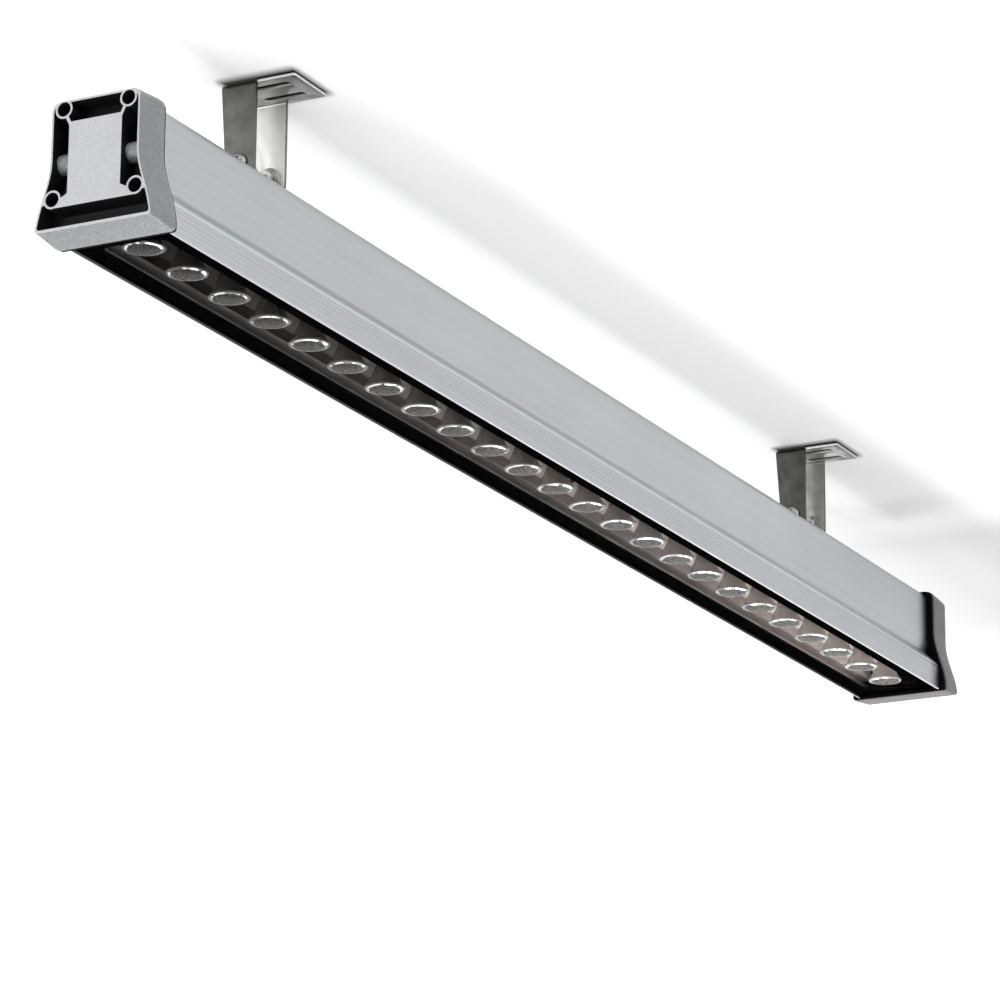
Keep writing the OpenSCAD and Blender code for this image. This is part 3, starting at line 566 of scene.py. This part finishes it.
def in_room(centre):
    return abs(centre.y) < ROOM_HALF_WIDTH and ROOM[0] < centre.z < ROOM[1]


def add_housing():
    walls = MATERIALS["circuit_board"]
    housing = softened("housing", 0.0001, 1)
    dress(housing, MATERIALS["anodised_aluminium"], HIGHLIGHT_STRIP, LIP_HIGHLIGHT, CHAMBER, walls)
    # The chamber's inside takes materials with painted shade at the near end and painted light
    # at the far end
    paint(housing, CHAMBER, lambda centre, normal:
          in_room(centre) and not looks_out(centre, normal, 0.1))
    paint(housing, walls, lambda centre, normal:
          in_room(centre) and not looks_out(centre, normal, -0.5))
    # The strip above the grooved band gets a painted highlight
    paint(housing, HIGHLIGHT_STRIP, lambda centre, normal:
          abs(centre.y) > STRIP_FROM_Y and STRIP[0] < centre.z < STRIP[1])
    # The lip gets a painted highlight
    paint(housing, LIP_HIGHLIGHT, lambda centre, normal:
          abs(centre.y) > LIP_FROM_Y and centre.z < LIP_TOP
          and (normal.z < -0.4 or not looks_out(centre, normal, 0)))


# Brackets: painted shade outside and under the foot, paler inside, and a painted highlight on
# the edge around the foot and its slots
FOOT_EDGE_LOW = -2.2 * MM
FOOT_FRONT_Y = -8.6 * MM
FOOT_HALF_FLAT = 12 * MM
EAR_TOP = -2.5 * MM
EAR_FROM_X = 15 * MM
BEND_LOW = -4 * MM
BEND_FROM_X = 12.5 * MM
TILT_AXIS_Z = -43 * MM
CROSS_RADIUS = 3.2 * MM
CROSS_FLOOR = 16.4 * MM
HEAD_TOP = 18.3 * MM
HEAD_FOOT = 16.5 * MM
SHANK_RADIUS = 3 * MM


def add_bracket(end, middle, inner, outer, under):
    """One bracket, its lower base and its tilt screws, around x = middle."""
    bracket = softened(end + "_bracket", 0.0003)
    # inner, outer and under are lit and shaded copies of one steel; the edge gets a painted
    # highlight
    dress(bracket, inner, outer, under, EDGE_HIGHLIGHT, FOOT_TOP)
    paint(bracket, EDGE_HIGHLIGHT, lambda centre, normal:
          centre.z > FOOT_EDGE_LOW and abs(normal.z) < 0.1
          and (centre.y < FOOT_FRONT_Y or abs(centre.x - middle) < FOOT_HALF_FLAT))
    paint(bracket, outer, lambda centre, normal:
          centre.z < EAR_TOP and abs(normal.x) > 0.8 and abs(centre.x - middle) > EAR_FROM_X)
    paint(bracket, outer, lambda centre, normal: centre.z < EAR_TOP and abs(normal.y) > 0.8)
    paint(bracket, under, lambda centre, normal: normal.z < -0.8 and centre.z > BEND_LOW)
    paint(bracket, outer, lambda centre, normal:
          normal.z > 0.05 and abs(centre.x - middle) > BEND_FROM_X)
    paint(bracket, FOOT_TOP, lambda centre, normal: normal.z > 0.8)
    dress(softened(end + "_bracket_base", 0.0003), BASE_STEEL)
    screws = softened(end + "_pivot_screws", 0.0002)
    dress(screws, SCREW_HEAD, PAINTED_SHADE_BLACK)
    # The cross slot and the foot of the head are painted black as their shade
    paint(screws, PAINTED_SHADE_BLACK, lambda centre, normal:
          in_screw_shadow(abs(centre.x - middle), centre, normal))
    return bracket


def in_screw_shadow(out, centre, normal):
    """Faces of the cross slot in a tilt screw's head, and the foot of the head's side."""
    radius = math.hypot(centre.y, centre.z - TILT_AXIS_Z)
    cross = radius < CROSS_RADIUS and CROSS_FLOOR < out < HEAD_TOP
    return cross or (out < HEAD_FOOT and abs(normal.x) < 0.3 and radius > SHANK_RADIUS)


# Lenses: one revolved shape with a dished face, repeated along a board
LENS_COUNT = 12
LENS_PITCH = 39.5
LENS_RADIUS = 10.5
LENS_TURN = 48
LENS_SMOOTH_ANGLE = 40
LENS_OUTLINE = [
    (0.2, -2.9), (3.1, -2.9), (3.1, -0.1), (4.8, -0.1), (7.6, -6.4), (9.6, -11.1),
    (10.3, -11.2), (10.5, -11.4), (10.5, -12.3), (10.3, -12.5), (9.3, -12.5),
    (8.9, -12.63), (8.2, -12.92), (7.9, -13), (0.2, -13)]
LENS_RIM_FROM = 10
LENS_FACE_FROM = 12


def world_points(obj):
    return [obj.matrix_world @ vertex.co for vertex in obj.data.vertices]


def lens_ring(work, centre, radius, height):
    turns = [a * math.tau / LENS_TURN for a in range(LENS_TURN)]
    return [
        work.verts.new(centre + Vector((
            radius * MM * math.cos(turn), radius * MM * math.sin(turn), height * MM)))
        for turn in turns]


def lens_slot(step):
    """The material of one step of the outline: cone, rim or face."""
    if step >= LENS_FACE_FROM:
        return 1
    return 2 if step >= LENS_RIM_FROM else 0


def add_lens(work, centre):
    rings = [lens_ring(work, centre, radius, height) for radius, height in LENS_OUTLINE]
    for step, (upper, lower) in enumerate(zip(rings, rings[1:])):
        for a in range(LENS_TURN):
            b = (a + 1) % LENS_TURN
            face = work.faces.new((upper[a], upper[b], lower[b], lower[a]))
            face.smooth = True
            face.material_index = lens_slot(step)
    work.faces.new(rings[0][::-1])
    work.faces.new(rings[-1]).material_index = 1


def add_lenses(node):
    source = nodes[node]
    points = world_points(source)
    first_x = min(point.x for point in points)
    base_z = max(point.z for point in points)
    work = bmesh.new()
    for i in range(LENS_COUNT):
        add_lens(work, Vector((first_x + (LENS_RADIUS + LENS_PITCH * i) * MM, 0, base_z)))
    bmesh.ops.recalc_face_normals(work, faces=work.faces)
    mesh = bpy.data.meshes.new(node + "_dished")
    piece = bpy.data.objects.new(node + "_dished", mesh)
    bpy.context.scene.collection.objects.link(piece)
    # Dressed while the mesh is empty, because clearing materials resets the faces' slots
    dress(piece, MATERIALS["clear_lens"], LENS_FACE, LENS_RIM_GLINTS)
    work.to_mesh(mesh)
    work.free()
    smooth_by_angle(piece, LENS_SMOOTH_ANGLE)
    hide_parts(node)
    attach(piece, source["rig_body"])


# Studio: a white ceiling that the feet are screwed to, and soft lamps below it
CEILING_RISE = 0.0005
CEILING_GLOW = 0.38
CEILING_GLOW_NEAR = 0.85
CEILING_GLOW_FAR = 0.3
CEILING_GLOW_BACK = 0.6
CEILING_GLOW_SIDE = 0.5
BESIDE_SHADE = 0.14
BEHIND_SHADE = 0.25
BEYOND_SHADE = 0.44
FOOT_HALF_X = 0.0155
FOOT_HALF_Y = 0.0197
FOOT_MIDDLE_Y = -0.00975
# The painted shadow around each foot plate
FOOT_SHADOW_WIDTH = 0.0085
FOOT_SHADOW_DARKEST = 0.05
FOOT_SHADOW_FLATTEN = 1.7


def away_from(s, coordinate, middle):
    return s.calc("ABSOLUTE", s.calc("SUBTRACT", coordinate, middle))


def painted_foot_shadow(s, bracket, middle):
    """Painted shadow close to a foot plate; it goes with the bracket when that moves."""
    x, y = s.axis("X", bracket), s.axis("Y", bracket)
    away_x = s.calc("SUBTRACT", away_from(s, x, middle), FOOT_HALF_X)
    away_y = s.calc("SUBTRACT", away_from(s, y, FOOT_MIDDLE_Y), FOOT_HALF_Y)
    away_y = s.calc("MULTIPLY", away_y, FOOT_SHADOW_FLATTEN)
    squares = [s.calc("POWER", s.calc("MAXIMUM", away, 0), 2) for away in (away_x, away_y)]
    return s.spread(s.calc("SQRT", s.calc("ADD", *squares)), FOOT_SHADOW_DARKEST, 1, 0, FOOT_SHADOW_WIDTH)


def ceiling_shade(s, brackets):
    """Painted soft shadow stripes beside, behind and beyond the bar, and painted shadows around
    the feet.

    A stripe fades with the distance from its own line along the bar, and at its ends.
    """
    x, y = s.axis("X"), s.axis("Y")
    off_axis = s.calc("ABSOLUTE", y)
    beside = s.calc(
        "MULTIPLY", s.spread(away_from(s, y, -0.04), BESIDE_SHADE, 0, 0, 0.035),
        s.spread(x, 0, 1, 0.04, 0.18))
    behind = s.calc(
        "MULTIPLY", s.spread(away_from(s, y, 0.045), BEHIND_SHADE, 0, 0.015, 0.04),
        s.spread(x, 0, 1, 0.5, 0.8), s.spread(x, 1, 0, 0.8, 0.9))
    beyond = s.calc(
        "MULTIPLY", s.spread(off_axis, BEYOND_SHADE, BEYOND_SHADE - 0.14, 0.02, 0.1),
        s.spread(off_axis, 1, 0, 0.1, 0.18),
        s.spread(x, 0, 1, 0.79, 0.89), s.spread(x, 1, 0, 1.1, 1.5))
    stripes = [s.calc("SUBTRACT", 1, stripe) for stripe in (beside, beyond, behind)]
    foot_shadows = [painted_foot_shadow(s, bracket, middle) for bracket, middle in brackets]
    return s.calc("MULTIPLY", *stripes, *foot_shadows)


def ceiling_glow(s):
    """Keeps the seen ceiling white: stronger before the near end and far from the bar."""
    x, y = s.axis("X"), s.axis("Y")
    # Painted light: the stronger glow washes out the ceiling's real shading before the near end
    # and far from the bar
    return s.calc(
        "ADD", s.spread(x, CEILING_GLOW_NEAR, CEILING_GLOW, -0.16, -0.02),
        s.spread(x, 0, CEILING_GLOW_FAR - CEILING_GLOW, 0.3, 0.85),
        s.spread(x, 0, CEILING_GLOW_BACK, 1.15, 2.6),
        s.spread(y, CEILING_GLOW_SIDE, 0, -2.9, -2.3),
        s.spread(x, CEILING_GLOW_SIDE, 0, -2.9, -2.2))


def add_ceiling(brackets):
    """A ceiling that is white from below and can't be seen from above."""
    mesh = bpy.data.meshes.new("ceiling")
    corners = [(x, y, CEILING_RISE) for x, y in ((-3, -4), (-3, 6), (9, 6), (9, -4))]
    mesh.from_pydata(corners, [], [(0, 1, 2, 3)])
    ceiling = bpy.data.objects.new("ceiling", mesh)
    bpy.context.scene.collection.objects.link(ceiling)
    s = Shader("ceiling_white", Roughness=0.9)
    shade = ceiling_shade(s, brackets)
    grains = s.noise(300)
    s.tint(grains, grey(0.79), grey(0.81), shade=shade)
    s.bump(grains, 0.0002, 0.3)
    glow = s.add("ShaderNodeEmission")
    s.join(s.calc("MULTIPLY", ceiling_glow(s), shade), glow.inputs["Strength"])
    plain = s.main.outputs["BSDF"]
    glowing = s.add("ShaderNodeAddShader")
    s.join(plain, glowing.inputs[0])
    s.join(glow.outputs["Emission"], glowing.inputs[1])
    below = s.mix(s.seen(), plain, glowing.outputs["Shader"])
    above = s.add("ShaderNodeBsdfTransparent").outputs["BSDF"]
    from_above = s.add("ShaderNodeNewGeometry").outputs["Backfacing"]
    s.join(s.mix(from_above, below, above), s.end.inputs["Surface"])
    dress(ceiling, s.material)


def add_lamp(name, place, aim, size, watts):
    data = bpy.data.lights.new(name, "AREA")
    data.shape = "RECTANGLE"
    data.size, data.size_y = size
    data.energy = watts
    lamp = bpy.data.objects.new(name, data)
    lamp.location = place
    lamp.rotation_euler = (Vector(aim) - Vector(place)).to_track_quat("-Z", "Y").to_euler()
    bpy.context.scene.collection.objects.link(lamp)


def add_world(level):
    """A world that is seen white and lights the scene at a lower level."""
    world = bpy.data.worlds.new("studio")
    world.use_nodes = True
    tree = Tree(world.node_tree)
    background = world.node_tree.nodes["Background"]
    background.inputs["Color"].default_value = (1, 1, 1, 1)
    tree.join(tree.spread(tree.seen(), level, 1, 0, 1), background.inputs["Strength"])
    bpy.context.scene.world = world


add_camera()
bpy.context.scene.view_settings.view_transform = "Standard"

for entry in frame["record"]["subparts"]:
    dress(nodes[entry["node"]], MATERIALS[entry["material_slot"]])
dress(nodes["board_link_leads"], LINK_WIRE)
add_cap("near_end_cap", -147, 1, MATERIALS["cast_aluminium"], SHADED_CAP_SIDE)
add_cap("far_end_cap", 853, -1, SHADED_FAR_CAST, SHADED_FAR_SIDE)
add_housing()
# The far bracket takes darker, shaded copies of the steel
brackets = [
    (add_bracket(end, middle, inner, outer, under), middle)
    for end, middle, inner, outer, under in (
        ("near", 0.0, MATERIALS["brushed_stainless"], SHADED_OUTER, SHADED_UNDER),
        ("far", 678 * MM, SHADED_FAR_INNER, SHADED_FAR_OUTER, SHADED_FAR_UNDER))]
add_lenses("near_lenses")
add_lenses("far_lenses")

add_ceiling(brackets)
add_world(0.35)
add_lamp("front_soft", (-2.6, 0.9, -1.3), (0.2, 0, -0.1), (1.6, 1.6), 30)
add_lamp("under_soft", (0.4, 0, -2.4), (0.4, 0, 0), (3, 1.6), 40)
add_lamp("side_soft", (0.6, -2.6, -0.7), (0.4, 0, -0.1), (2.4, 1.2), 12)
add_lamp("far_low", (1.15, 0.2, -0.75), (0.7, 0, -0.1), (0.4, 0.4), 4)
